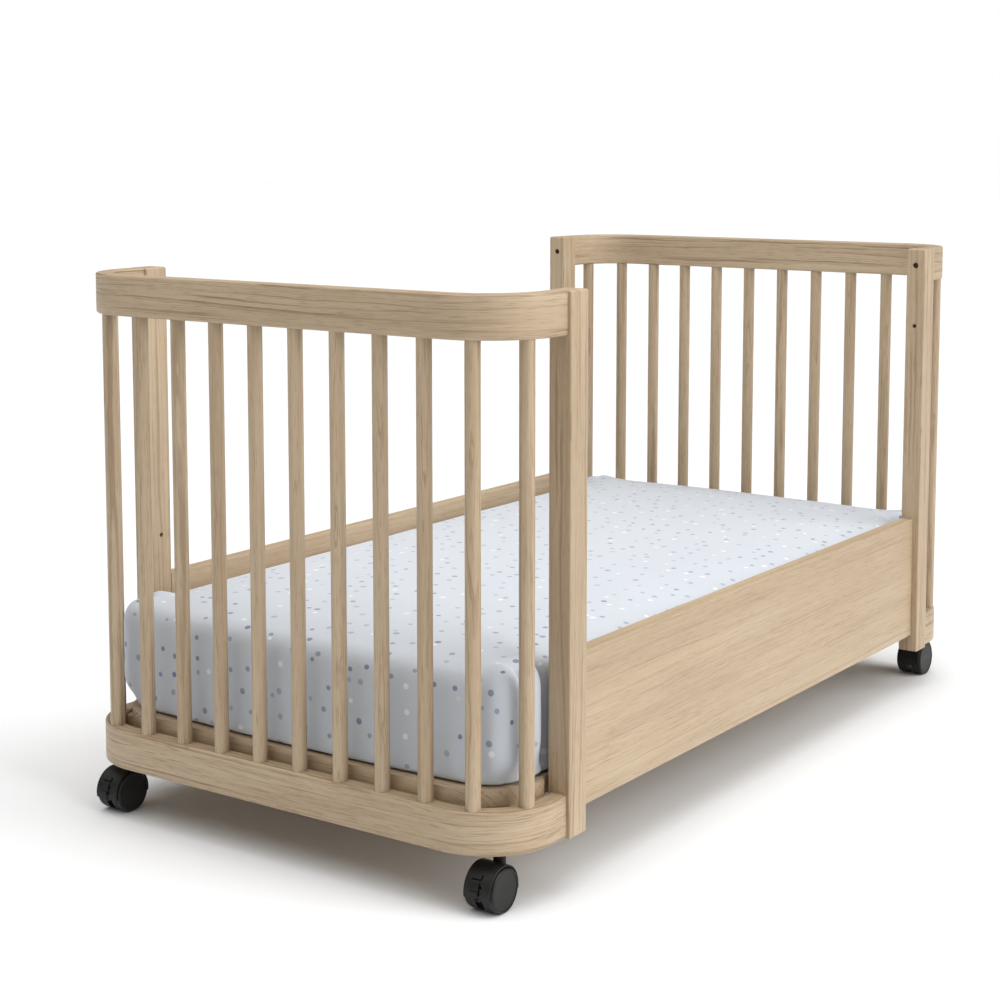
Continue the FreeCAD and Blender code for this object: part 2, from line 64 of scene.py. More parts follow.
MATTRESS_END_GAP = 0.002     # between the sheet's sides and the CAD mattress's
MATTRESS_SIDE_GAP = 0.0015
MATTRESS_TOP_GAP = 0.003
MATTRESS_FOOT_GAP = 0.0009   # between the sheet and the board under it
MATTRESS_CORNER = 0.027      # plan radius above the drawn-in foot
MATTRESS_FOOT_CORNER = 0.064  # plan radius at the bottom, where the elastic draws the corners in
FOOT_HEIGHT = 0.034          # how far up the corners are drawn in
MATTRESS_EDGE = 0.026        # radius of the top edge
MATTRESS_FOOT_EDGE = 0.013   # radius of the bottom edge
MATTRESS_GRID = 0.0125       # spacing of the mattress's cloth before its one subdivision
CORNER_GRID = 0.005          # spacing along the bed near the corners, where the sheet gathers
CORNER_REACH = 0.130         # how far from each end that closer spacing goes
MATTRESS_SWELL = 0.006       # furthest that the cloth may swell
SWELL_FRAMES = 20
SHEET_TUCK = 0.055           # how far the fitted sheet reaches in under the mattress
BOTTOM_BAND = 0.002          # faces lower than this above the base are the mattress's underside
SHEET_OFF_CORE = 0.0012      # thickness of the cloth on the core
HEM_WIDTH = 0.011
HEM_THICKNESS = 0.0011
HEM_WAVE = 0.0006            # how far the gathers widen the tape
HEM_CORNER = 0.050
HEM_STEP = 0.0025
HEM_GATHER = 0.0075          # pitch of the gathers along the elastic
SIDE_BAND = (0.055, 0.020)   # from the long side: where the gathers start and end their rise
ROUND_BAND = (0.105, 0.060)  # from the end: where the corner's fullness starts and ends its rise
GATHERS = ((0.043, 0.9), (0.092, 1.0))  # each gather's distance from the end and share of the depth
BETWEEN_GATHERS = 0.067      # distance from the end of the fullness between the two gathers
BETWEEN_WIDTH = 0.013        # half width of that fullness
CREASE_DEPTH = 0.020
CREASE_WIDTH = 0.0042
CREASE_LEAN = 0.004          # how far a gather wanders along the bed on its way down
LEAN_TURNS = 23.0            # radians per metre of that wandering
TOP_FADE = (-0.002, 0.022)   # below the top: where the gathers start and where they are full
LOBE_RISE = 0.05             # height over which the corners' fullness grows
LOBE_SWELL = 0.0045          # how far the gathered cloth stands out round each corner
SECOND_LOBE = 0.0050         # how much further it stands out between the two gathers
PUCKER_DEPTH = 0.0026
PUCKER_BAND = (0.015, 0.065)  # height of full puckers, and height where they have faded
PUCKERS_PER_METRE = (34.0, 9.0)  # noise scale of the puckers round the mattress and upwards
UNDULATION = 0.0009          # height of the stuffing's slow unevenness
UNDULATIONS_PER_METRE = 7.0
HELD_BAND = (0.002, 0.012)   # height up to which the cloth is held still, and where it moves freely
SHAPED_FROM = 0.02           # height at which the gathers and the unevenness reach their full depth
END_BOW = 0.0135             # how far the mattress's ends bow out at their middle
BOW_REACH = 0.20             # how far along the bed the bow reaches
BOW_MARGIN = 0.012           # width beside each long side that does not bow

CUT_MAP = "cut"              # UV map that lays the sheet out flat
DOT_SPACING = 0.034
DOT_RADIUS = 0.0042
DOT_EDGE = 0.0006            # softness of the print's edge
WEAVE_PITCH = 0.0007

CORNERS = [(end, side) for end in ("foot", "head") for side in ("front", "rear")]
END_SIGN = {"foot": -1, "head": 1}


# ---- shader helpers -----------------------------------------------------------------------
def put(tree, kind, inputs=None, **settings):
    """Adds a node. inputs maps a socket's name or number to a value or to another node's output."""
    made = tree.nodes.new(kind)
    for key, value in settings.items():
        setattr(made, key, value)
    for key, value in (inputs or {}).items():
        if isinstance(value, bpy.types.NodeSocket):
            tree.links.new(value, made.inputs[key])
        else:
            made.inputs[key].default_value = value
    return made


def calc(tree, operation, a, b=0.0):
    return put(tree, "ShaderNodeMath", {0: a, 1: b}, operation=operation).outputs[0]


def plus(tree, a, b):
    return calc(tree, "ADD", a, b)


def minus(tree, a, b):
    return calc(tree, "SUBTRACT", a, b)


def times(tree, a, b):
    return calc(tree, "MULTIPLY", a, b)


def vector(tree, x, y, z=0.0):
    return put(tree, "ShaderNodeCombineXYZ", {0: x, 1: y, 2: z}).outputs[0]


def split(tree, source):
    return put(tree, "ShaderNodeSeparateXYZ", {0: source}).outputs


def ramp_between(tree, value, low, high):
    """0 below low, 1 above high and smooth in between."""
    return put(tree, "ShaderNodeMapRange", {"Value": value, "From Min": low, "From Max": high},
               interpolation_type="SMOOTHSTEP").outputs[0]


def mix(tree, share, a, b, blend="MIX"):
    made = put(tree, "ShaderNodeMix", data_type="RGBA", blend_type=blend)
    for socket, value in ((made.inputs[0], share), (made.inputs[6], a), (made.inputs[7], b)):
        if isinstance(value, bpy.types.NodeSocket):
            tree.links.new(value, socket)
        else:
            socket.default_value = value
    return made.outputs[2]


def noise_value(tree, place, scale=1.0, detail=2.0, roughness=0.5):
    return put(tree, "ShaderNodeTexNoise", {"Vector": place, "Scale": scale, "Detail": detail,
                                            "Roughness": roughness}).outputs[0]


def bump(tree, height, distance, strength=1.0):
    return put(tree, "ShaderNodeBump", {"Strength": strength, "Distance": distance,
                                        "Height": height}).outputs[0]


def new_material(name, **values):
    """A material with one Principled shader; values are the shader's own uniform inputs."""
    made = bpy.data.materials.new(name)
    made.use_nodes = True
    tree = made.node_tree
    tree.nodes.clear()
    shader = put(tree, "ShaderNodeBsdfPrincipled")
    put(tree, "ShaderNodeOutputMaterial", {0: shader.outputs[0]})
    for key, value in values.items():
        shader.inputs[key.replace("_", " ")].default_value = value
    return made, tree, shader


def rgb(red, green, blue):
    return (red, green, blue, 1.0)


# ---- oak ----------------------------------------------------------------------------------
# Every layer of the grain is stretched noise: its scale along the member and across it, its detail,
# and the range of the noise that is carried to 0 to 1.
OAK_LAYERS = {
    "line_breaks": (5.0, 130.0, 2.0, 0.36, 0.62),
    "clouds": (2.4, 20.0, 2.0, 0.28, 0.72),
    "streaks": (3.2, 130.0, 3.0, 0.30, 0.70),
    "fibres": (12.0, 640.0, 2.0, 0.30, 0.70),
    "pores": (34.0, 1000.0, 1.0, 0.58, 0.70),
}
OAK_DEEP = (0.411, 0.301, 0.190, 1.0)
OAK_PALE = (0.506, 0.394, 0.263, 1.0)
OAK_STREAK = (0.383, 0.276, 0.171, 1.0)
OAK_FIBRE = (0.534, 0.427, 0.298, 1.0)
OAK_LINE = (0.223, 0.142, 0.076, 1.0)
OAK_PORE = (0.205, 0.129, 0.067, 1.0)
RINGS_PER_METRE = 190.0
RING_SLOPE = (0.75, 0.66)    # how the growth rings cut across the wide face and into the wood
WANDER = 0.034               # slow drift of the rings, metres
RIPPLE = 0.0040              # fine unevenness of the rings, metres
SEED_STEP = (3.17, 0.211, 0.137)  # shift of the grain from one member to the next


def along_bend(tree, x, y, sign):
    """Distance along a bent rail and distance out from its bend's centre."""
    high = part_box("head_top_rail")[1]
    centre_x = high.x - BEND_RADIUS
    centre_y = high.y - BEND_RADIUS
    middle = BEND_RADIUS - RAIL_THICKNESS / 2
    out_x = minus(tree, times(tree, x, sign), centre_x)
    side_y = calc(tree, "ABSOLUTE", y)
    out_y = minus(tree, side_y, centre_y)
    beyond_x = calc(tree, "MAXIMUM", out_x, 0.0)
    beyond_y = calc(tree, "MAXIMUM", out_y, 0.0)
    turn = calc(tree, "ARCTAN2", beyond_y, beyond_x)
    straight = calc(tree, "MINIMUM", side_y, centre_y)
    leg = calc(tree, "MAXIMUM", times(tree, out_x, -1.0), 0.0)
    length = plus(tree, plus(tree, straight, times(tree, turn, middle)), leg)
    along = times(tree, length, calc(tree, "SIGN", y))
    square = plus(tree, times(tree, beyond_x, beyond_x), times(tree, beyond_y, beyond_y))
    return along, calc(tree, "SQRT", square)


def grain_place(tree, grain):
    """The point along the grain, across the wide face and into the wood."""
    x, y, z = split(tree, put(tree, "ShaderNodeTexCoord").outputs["Object"])
    if grain == "x":
        return x, z, y
    if grain == "flat":
        return x, y, z
    if grain == "y":
        return y, x, z
    if grain == "z":
        return z, x, y
    along, out = along_bend(tree, x, y, END_SIGN[grain])
    return along, z, out


def oak(name, grain, seed, figure):
    """Pale oak under a matt lacquer; figure is the strength of its dark lines."""
    made, tree, shader = new_material(name, Roughness=0.5, Coat_Weight=0.10, Coat_Roughness=0.4)
    along, across, depth = grain_place(tree, grain)
    along = plus(tree, along, seed * SEED_STEP[0])
    across = plus(tree, across, seed * SEED_STEP[1])
    depth = plus(tree, depth, seed * SEED_STEP[2])

    def stretched(long_scale, cross_scale):
        return vector(tree, times(tree, along, long_scale), times(tree, across, cross_scale),
                      times(tree, depth, cross_scale))

    def layer(kind):
        long_scale, cross_scale, detail, low, high = OAK_LAYERS[kind]
        value = noise_value(tree, stretched(long_scale, cross_scale), detail=detail)
        return ramp_between(tree, value, low, high)

    wander = minus(tree, noise_value(tree, stretched(1.3, 8.0), detail=2.0), 0.5)
    ripple = minus(tree, noise_value(tree, stretched(16.0, 90.0), detail=2.0), 0.5)
    pith = plus(tree, times(tree, across, RING_SLOPE[0]), times(tree, depth, RING_SLOPE[1]))
    pith = plus(tree, pith, times(tree, wander, WANDER))
    pith = plus(tree, pith, times(tree, ripple, RIPPLE))
    rings = put(tree, "ShaderNodeTexNoise", {"W": times(tree, pith, RINGS_PER_METRE), "Scale": 1.0,
                                             "Detail": 1.5, "Roughness": 0.6},
                noise_dimensions="1D").outputs[0]
    from_line = calc(tree, "ABSOLUTE", minus(tree, rings, 0.5))
    lines = minus(tree, 1.0, ramp_between(tree, from_line, 0.004, 0.060))
    lines = times(tree, lines, layer("line_breaks"))
    pores = layer("pores")

    body = mix(tree, layer("clouds"), OAK_DEEP, OAK_PALE)
    body = mix(tree, times(tree, layer("streaks"), 0.55), body, OAK_STREAK)
    body = mix(tree, times(tree, layer("fibres"), 0.30), body, OAK_FIBRE)
    body = mix(tree, times(tree, lines, figure), body, OAK_LINE)
    pore_share = 0.20 + 0.35 * figure
    body = mix(tree, times(tree, pores, pore_share), body, OAK_PORE)
    tree.links.new(body, shader.inputs["Base Color"])
    grain_rough = plus(tree, times(tree, lines, 0.10), 0.46)
    tree.links.new(plus(tree, grain_rough, times(tree, pores, 0.2)), shader.inputs["Roughness"])
    relief = plus(tree, times(tree, pores, -1.0), times(tree, lines, -0.4))
    tree.links.new(bump(tree, relief, 0.00025, 0.5), shader.inputs["Normal"])
    return made


# ---- plastic, steel and cloth -------------------------------------------------------------
def object_place(tree):
    return put(tree, "ShaderNodeTexCoord").outputs["Object"]


def moulded_plastic(name, colour, rough):
    """Black moulding with a fine spark-eroded texture and faint handling marks."""
    made, tree, shader = new_material(name, Roughness=rough, Specular_IOR_Level=0.28)
    place = object_place(tree)
    texture = noise_value(tree, place, scale=2600.0, detail=2.0)
    marks = noise_value(tree, place, scale=90.0, detail=4.0, roughness=0.65)
    shade = mix(tree, ramp_between(tree, marks, 0.35, 0.75), rgb(*[c * 0.82 for c in colour]),
                rgb(*[c * 1.25 for c in colour]))
    tree.links.new(shade, shader.inputs["Base Color"])
    spread = plus(tree, times(tree, marks, 0.22), rough - 0.11)
    tree.links.new(spread, shader.inputs["Roughness"])
    tree.links.new(bump(tree, texture, 0.00008, 0.6), shader.inputs["Normal"])
    return made


def plated_steel(name, dark, light):
    """Plated steel with a cloudy, fine drawn finish."""
    made, tree, shader = new_material(name, Metallic=1.0, Roughness=0.38)
    place = object_place(tree)
    clouds = noise_value(tree, place, scale=240.0, detail=3.0)
    drawn = noise_value(tree, place, scale=3000.0, detail=1.0)
    shade = mix(tree, clouds, dark, light)
    tree.links.new(shade, shader.inputs["Base Color"])
    tree.links.new(plus(tree, times(tree, clouds, 0.25), 0.26), shader.inputs["Roughness"])
    tree.links.new(bump(tree, drawn, 0.00005, 0.4), shader.inputs["Normal"])
    return made


def weave_height(tree, place, pitch):
    """Plain weave: threads over and under each other at the given pitch."""
    u, v, _ = split(tree, place)
    turns = math.pi / pitch
    across = calc(tree, "SINE", times(tree, u, turns))
    down = calc(tree, "SINE", times(tree, v, turns))
    return times(tree, across, down)


def dot_share(tree, place, spacing, radius, edge):
    """1 inside the dots scattered over the flat cloth, and two random numbers of each dot's own."""
    cells = put(tree, "ShaderNodeTexVoronoi",
                {"Vector": place, "Scale": 1.0 / spacing, "Randomness": 0.8},
                voronoi_dimensions="2D", feature="F1")
    chance = split(tree, cells.outputs["Color"])
    size = plus(tree, times(tree, chance[1], 0.35), 0.75)
    limit = times(tree, size, radius / spacing)
    inside = minus(tree, limit, cells.outputs["Distance"])
    return ramp_between(tree, inside, -edge / spacing, edge / spacing), chance[0], chance[2]


def dotted_cotton(name):
    """Pale blue cotton printed with small slate-blue, grey-blue and white dots."""
    made, tree, shader = new_material(name, Roughness=0.85, Sheen_Weight=0.35, Sheen_Roughness=0.5)
    flat = put(tree, "ShaderNodeUVMap", uv_map=CUT_MAP).outputs[0]
    clouds = noise_value(tree, flat, scale=7.0, detail=3.0)
    threads = noise_value(tree, flat, scale=900.0, detail=2.0)
    ground = mix(tree, clouds, rgb(0.515, 0.558, 0.612), rgb(0.560, 0.598, 0.650))
    ground = mix(tree, times(tree, threads, 0.16), ground, rgb(0.412, 0.439, 0.512))
    inside, pick, fade = dot_share(tree, flat, DOT_SPACING, DOT_RADIUS, DOT_EDGE)
    slate = mix(tree, ramp_between(tree, pick, 0.30, 0.34), rgb(0.140, 0.170, 0.290),
                rgb(0.270, 0.315, 0.420))
    ink = mix(tree, ramp_between(tree, pick, 0.78, 0.82), slate, rgb(0.78, 0.79, 0.77))
    share = times(tree, inside, plus(tree, times(tree, fade, 0.3), 0.65))
    tree.links.new(mix(tree, share, ground, ink), shader.inputs["Base Color"])
    weave = weave_height(tree, flat, WEAVE_PITCH)
    tree.links.new(bump(tree, weave, 0.00006, 0.5), shader.inputs["Normal"])
    return made


def ticking(name):
    """Off-white mattress cover with a coarse twill."""
    made, tree, shader = new_material(name, Roughness=0.9, Sheen_Weight=0.2)
    place = object_place(tree)
    x, y, z = split(tree, place)
    slant = calc(tree, "SINE", times(tree, plus(tree, plus(tree, x, y), z), 3500.0))
    clouds = noise_value(tree, place, scale=30.0, detail=3.0)
    shade = mix(tree, clouds, rgb(0.62, 0.61, 0.57), rgb(0.72, 0.71, 0.68))
    tree.links.new(shade, shader.inputs["Base Color"])
    tree.links.new(bump(tree, slant, 0.0001, 0.5), shader.inputs["Normal"])
    return made


# ---- camera, floor and light --------------------------------------------------------------
def new_object(name, data):
    made = bpy.data.objects.new(name, data)
    bpy.context.scene.collection.objects.link(made)
    return made


def aim(made, towards):
    made.rotation_mode = "QUATERNION"
    made.rotation_quaternion = Vector(towards).to_track_quat("-Z", "Y")


def make_camera():
    """The camera at the photograph's viewing angle."""
    data = bpy.data.cameras.new("camera")
    data.lens = CAMERA_LENS
    data.sensor_width = SENSOR_WIDTH
    data.shift_y = CAMERA_SHIFT
    data.clip_start = 0.05
    data.clip_end = 200.0
    camera = new_object("camera", data)
    heading = math.radians(CAMERA_HEADING)
    pitch = math.radians(CAMERA_PITCH)
    level = math.cos(pitch)
    aim(camera, (math.cos(heading) * level, math.sin(heading) * level, -math.sin(pitch)))
    camera.location = CAMERA_PLACE
    bpy.context.scene.camera = camera


def soft_sun(name, towards, angle, strength):
    """A very wide distant light, which lights the floor evenly out to the horizon."""
    data = bpy.data.lights.new(name, "SUN")
    data.angle = math.radians(angle)
    data.energy = strength
    aim(new_object(name, data), towards)


def panel_light(name, place, target, size, power):
    """A square soft light; size in metres and power in watts."""
    data = bpy.data.lights.new(name, "AREA")
    data.size = size
    data.energy = power
    light = new_object(name, data)
    light.location = place
    aim(light, Vector(target) - Vector(place))
    light.visible_camera = False


def make_studio():
    """Pale floor, soft white light from all round, and a white backdrop for the camera."""
    reach = FLOOR_REACH
    rim = [(-reach, -reach, 0), (reach, -reach, 0), (reach, reach, 0), (-reach, reach, 0)]
    mesh = bpy.data.meshes.new("floor")
    mesh.from_pydata(rim, [], [(0, 1, 2, 3)])
    floor = new_object("floor", mesh)
    made, tree, shader = new_material("floor_white", Roughness=0.9)
    shader.inputs["Base Color"].default_value = rgb(0.885, 0.900, 0.915)
    shader.inputs["Specular IOR Level"].default_value = 0.1
    mesh.materials.append(made)

    world = bpy.data.worlds.new("studio")
    world.use_nodes = True
    tree = world.node_tree
    tree.nodes.clear()
    seen = put(tree, "ShaderNodeLightPath").outputs["Is Camera Ray"]
    light = put(tree, "ShaderNodeBackground", {"Color": rgb(1.0, 0.95, 0.89), "Strength": 0.25})
    backdrop = put(tree, "ShaderNodeBackground", {"Color": rgb(1.0, 1.0, 1.0), "Strength": 1.0})
    both = put(tree, "ShaderNodeMixShader", {0: seen, 1: light.outputs[0], 2: backdrop.outputs[0]})
    put(tree, "ShaderNodeOutputWorld", {0: both.outputs[0]})
    bpy.context.scene.world = world
    bpy.context.scene.view_settings.view_transform = "Standard"

    soft_sun("overhead", towards=(0.12, -0.10, -1.0), angle=80.0, strength=2.05)
    soft_sun("front_softbox", towards=(-0.22, 1.0, -0.55), angle=55.0, strength=2.05)
    panel_light("foot_softbox", place=(-0.40, -0.60, 1.90), target=(0.70, 0.0, 0.45), size=1.2,
                power=10.0)


# ---- mattress and fitted sheet ------------------------------------------------------------
def smooth(low, high, value):
    """0 below low, 1 above high and smooth in between, for arrays."""
    share = np.clip((value - low) / (high - low), 0, 1)
    return share * share * (3 - 2 * share)


def grid_lines(half, reach=0.0):
    """Even lines from -half to half, closer together within reach of both ends."""
    count = round(2 * (half - reach) / MATTRESS_GRID)
    lines = np.linspace(reach - half, half - reach, count + 1)
    if reach:
        close = np.linspace(half - reach, half, round(reach / CORNER_GRID) + 1)[1:]
        lines = np.concatenate((-close[::-1], lines, close))
    return lines


def cuboid_grid(half_x, half_y, height):
    """Points and faces of a gridded box standing on z 0, and each face's place on the flat cut."""
    xs = grid_lines(half_x, CORNER_REACH)
    ys = grid_lines(half_y)
    zs = np.linspace(0, height, round(height / MATTRESS_GRID) + 1)
    points = {}
    faces = []
    cuts = []

    def index(point):
        key = tuple(round(value, 6) for value in point)
        return points.setdefault(key, len(points))

    def add(corners, unfold):
        faces.append([index(corner) for corner in corners])
        cuts.append([unfold(corner) for corner in corners])

    def cell(us, vs, place, unfold):
        for i in range(len(us) - 1):
            for j in range(len(vs) - 1):
                u, next_u, v, next_v = us[i], us[i + 1], vs[j], vs[j + 1]
                around = ((u, v), (next_u, v), (next_u, next_v), (u, next_v))
                add([place(*corner) for corner in around], unfold)

    cell(xs, ys, lambda u, v: (u, v, height), lambda p: (p[0], p[1]))
    for sign in (-1, 1):
        cell(ys[::sign], zs, lambda u, v: (sign * half_x, u, v),
             lambda p: (sign * (half_x + height - p[2]), p[1]))
        cell(xs[::-sign], zs, lambda u, v: (u, sign * half_y, v),
             lambda p: (p[0], sign * (half_y + height - p[2])))

    def under(corners):
        middle = np.mean(corners, axis=0)
        if half_x - abs(middle[0]) < half_y - abs(middle[1]):
            sign = math.copysign(1, middle[0])
            return lambda p: (sign * (2 * half_x + height - sign * p[0]), p[1])
        sign = math.copysign(1, middle[1])
        return lambda p: (p[0], sign * (2 * half_y + height - sign * p[1]))

    for i in range(len(xs) - 1):
        for j in range(len(ys) - 1):
            x, next_x, y, next_y = xs[i], xs[i + 1], ys[j], ys[j + 1]
            corners = [(x, y, 0), (x, next_y, 0), (next_x, next_y, 0), (next_x, y, 0)]
            add(corners, under(corners))
    return np.array(list(points)), faces, cuts


def squared_to_round(a, b):
    """Carries the outline of the square over [0, 1] to a quarter circle."""
    longest = np.maximum(np.abs(a), np.abs(b))
    length = np.hypot(a, b)
    share = np.where(length > TINY, longest / np.maximum(length, TINY), 1.0)
    return a * share, b * share


def outline_offset(points, half_x, half_y, radius):
    """Signed distance to the rounded outline, negative inside, and its outward direction."""
    dx = np.abs(points[:, 0]) - (half_x - radius)
    dy = np.abs(points[:, 1]) - (half_y - radius)
    out = np.hypot(np.maximum(dx, 0), np.maximum(dy, 0))
    distance = out + np.minimum(np.maximum(dx, dy), 0) - radius
    corner = (dx > 0) & (dy > 0)
    way_x = np.where(corner, dx / np.maximum(out, TINY), np.where(dx > dy, 1.0, 0.0))
    way_y = np.where(corner, dy / np.maximum(out, TINY), np.where(dx > dy, 0.0, 1.0))
    return distance, way_x * np.sign(points[:, 0]), way_y * np.sign(points[:, 1])


def rounded_box(points, half_x, half_y, height, corner, edge):
    """Rounds a gridded box in plan and along its edges; corner and edge are each point's radii."""
    made = points.copy()
    for_x = np.maximum(np.abs(made[:, 0]) - (half_x - corner), 0) / corner
    for_y = np.maximum(np.abs(made[:, 1]) - (half_y - corner), 0) / corner
    round_x, round_y = squared_to_round(for_x, for_y)
    made[:, 0] += np.sign(made[:, 0]) * (round_x - for_x) * corner
    made[:, 1] += np.sign(made[:, 1]) * (round_y - for_y) * corner
    distance, way_x, way_y = outline_offset(made, half_x, half_y, corner)
    across = np.maximum(edge + distance, 0) / edge
    above = np.maximum(np.abs(made[:, 2] - height / 2) - (height / 2 - edge), 0) / edge
    round_across, round_above = squared_to_round(across, above)
    shift = (round_across - across) * edge
    made[:, 0] += way_x * shift
    made[:, 1] += way_y * shift
    made[:, 2] += np.sign(made[:, 2] - height / 2) * (round_above - above) * edge
    return made


def mesh_object(name, points, faces):
    mesh = bpy.data.meshes.new(name)
    mesh.from_pydata([tuple(point) for point in points], [], faces)
    mesh.validate()
    return new_object(name, mesh)


def read_points(mesh):
    places = np.empty(len(mesh.vertices) * 3)
    mesh.vertices.foreach_get("co", places)
    return places.reshape(-1, 3)


def write_points(mesh, points):
    mesh.vertices.foreach_set("co", np.asarray(points, dtype=np.float32).ravel())
    mesh.update()


def swell(made, held, most):
    """Cloth pressure from inside; held is each point's pin weight and most the furthest move."""
    start = read_points(made.data)
    group = made.vertex_groups.new(name="held")
    for i in np.flatnonzero(held > 0):
        group.add([int(i)], float(held[i]), "REPLACE")
    cloth = made.modifiers.new("cloth", "CLOTH")
    settings = cloth.settings
    settings.quality = 5
    settings.mass = 0.2
    settings.tension_stiffness = 12.0
    settings.compression_stiffness = 12.0
    settings.bending_stiffness = 0.4
    settings.use_pressure = True
    settings.uniform_pressure_force = 4.0
    settings.vertex_group_mass = "held"
    settings.effector_weights.gravity = 0.0
    cloth.collision_settings.use_collision = False
    scene = bpy.context.scene
    for number in range(1, SWELL_FRAMES + 1):
        scene.frame_set(number)
    graph = bpy.context.evaluated_depsgraph_get()
    result = read_points(made.evaluated_get(graph).to_mesh())
    made.modifiers.remove(cloth)
    made.vertex_groups.clear()
    scene.frame_set(1)
    move = result - start
    far = np.linalg.norm(move, axis=1, keepdims=True)
    held_back = most * np.tanh(far / most) / np.maximum(far, TINY)
    write_points(made.data, start + move * held_back)


def crease_depth(points, half_x, half_y, base):
    """Gathers of the fitted sheet: two upright valleys beside each corner, on the long sides."""
    depth = np.zeros(len(points))
    height = points[:, 2] - base
    below_top = height.max() - height
    fade = smooth(*TOP_FADE, below_top)
    side = smooth(half_y - SIDE_BAND[0], half_y - SIDE_BAND[1], np.abs(points[:, 1]))
    from_middle = np.abs(points[:, 0])
    round_corner = side * smooth(half_x - ROUND_BAND[0], half_x - ROUND_BAND[1], from_middle)
    for sign_x in (-1, 1):
        for sign_y in (-1, 1):
            near = side * (points[:, 1] * sign_y > 0) * (points[:, 0] * sign_x > 0)
            lean = CREASE_LEAN * np.sin(height * LEAN_TURNS + sign_x + 2 * sign_y)
            for from_end, share in GATHERS:
                away = (points[:, 0] * sign_x - (half_x - from_end) - lean) / CREASE_WIDTH
                depth += near * share / (1 + away ** 2)
    past = (from_middle - half_x + BETWEEN_GATHERS) / BETWEEN_WIDTH
    between = side * np.exp(-past ** 2)
    lobes = LOBE_SWELL * round_corner + SECOND_LOBE * between
    return CREASE_DEPTH * depth * fade - lobes * smooth(0.0, LOBE_RISE, height)


def bow_ends(points, half_x, half_y):
    """Bows the mattress's ends out towards the dowels; its middle stays as it is."""
    share = smooth(half_x - BOW_REACH, half_x, np.abs(points[:, 0]))
    across = np.clip(1 - (points[:, 1] / (half_y - BOW_MARGIN)) ** 2, 0, 1)
    points[:, 0] += np.sign(points[:, 0]) * END_BOW * share * across


def soft_undulation(points):
    """Slow unevenness of a stuffed surface, -1 to 1."""
    return np.array([noise.noise(Vector(point) * UNDULATIONS_PER_METRE) for point in points])


def puckers(points, base):
    """Short upright puckers just above the elastic of the fitted sheet."""
    height = points[:, 2] - base
    round_scale, up_scale = PUCKERS_PER_METRE
    places = [Vector(((x + y) * round_scale, (x - y) * round_scale, z * up_scale))
              for x, y, z in points]
    folds = np.array([noise.noise(place) for place in places])
    return PUCKER_DEPTH * folds * (1 - smooth(*PUCKER_BAND, height))


def flat_cut(mesh, cuts):
    """Stores the sheet's flat pattern as the mesh's UV map."""
    layer = mesh.uv_layers.new(name=CUT_MAP)
    layer.data.foreach_set("uv", np.array(cuts).ravel())


def read_normals(mesh):
    normals = np.empty(len(mesh.vertices) * 3)
    mesh.vertices.foreach_get("normal", normals)
    return normals.reshape(-1, 3)


def open_underneath(mesh, half_x, half_y, base):
    """Takes away the bottom faces inside the sheet's tuck."""
    opened = bmesh.new()
    opened.from_mesh(mesh)
    hidden = []
    for face in opened.faces:
        centre = face.calc_center_median()
        underneath = centre.z < base + BOTTOM_BAND
        inside = abs(centre.x) < half_x - SHEET_TUCK and abs(centre.y) < half_y - SHEET_TUCK
        if underneath and inside:
            hidden.append(face)
    bmesh.ops.delete(opened, geom=hidden, context="FACES")
    opened.to_mesh(mesh)
    opened.free()


def make_mattress():
    """Makes the stuffed core, the fitted sheet and its hem; gives them and the sheet's half length,
    half width and height."""
    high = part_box("mattress")[1]
    board_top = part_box("base_board")[1].z
    half_x = high.x - MATTRESS_END_GAP
    half_y = high.y - MATTRESS_SIDE_GAP
    base = board_top + MATTRESS_FOOT_GAP
    height = high.z - base - MATTRESS_TOP_GAP
    cuboid, faces, cuts = cuboid_grid(half_x, half_y, height)
    drawn_in = 1 - smooth(0, FOOT_HEIGHT, cuboid[:, 2])
    corner = MATTRESS_CORNER + (MATTRESS_FOOT_CORNER - MATTRESS_CORNER) * drawn_in
    edge = np.where(cuboid[:, 2] > height / 2, MATTRESS_EDGE, MATTRESS_FOOT_EDGE)
    points = rounded_box(cuboid, half_x, half_y, height, corner, edge)
    points[:, 2] += base
    form = mesh_object("form", points, faces)
    flat_cut(form.data, cuts)
    held = np.clip((base + HELD_BAND[1] - points[:, 2]) / (HELD_BAND[1] - HELD_BAND[0]), 0, 1)
    swell(form, held, MATTRESS_SWELL)
    finer = form.modifiers.new("finer", "SUBSURF")
    finer.levels = 1
    graph = bpy.context.evaluated_depsgraph_get()
    skin = bpy.data.meshes.new_from_object(form.evaluated_get(graph))
    bpy.data.objects.remove(form)

    places = read_points(skin)
    normals = read_normals(skin)
    bow_ends(places, half_x, half_y)
    up = np.clip((places[:, 2] - base) / SHAPED_FROM, 0, 1)
    inward = crease_depth(places, half_x, half_y, base) - UNDULATION * soft_undulation(places)
    inward += puckers(places, base)
    places -= normals * (inward * up)[:, None]
    places[:, 2] = np.maximum(places[:, 2], base)
    write_points(skin, places)

    core_mesh = skin.copy()
    core_mesh.name = "mattress_core"
    core_places = places - normals * SHEET_OFF_CORE
    core_places[:, 2] = np.maximum(core_places[:, 2], base + SHEET_OFF_CORE)
    write_points(core_mesh, core_places)
    core = new_object("mattress_core", core_mesh)

    open_underneath(skin, half_x, half_y, base)
    skin.name = "fitted_sheet"
    sheet = new_object("fitted_sheet", skin)
    for made in (core, sheet):
        made.data.shade_smooth()
    return core, sheet, make_hem(half_x, half_y, base), half_x, half_y, height


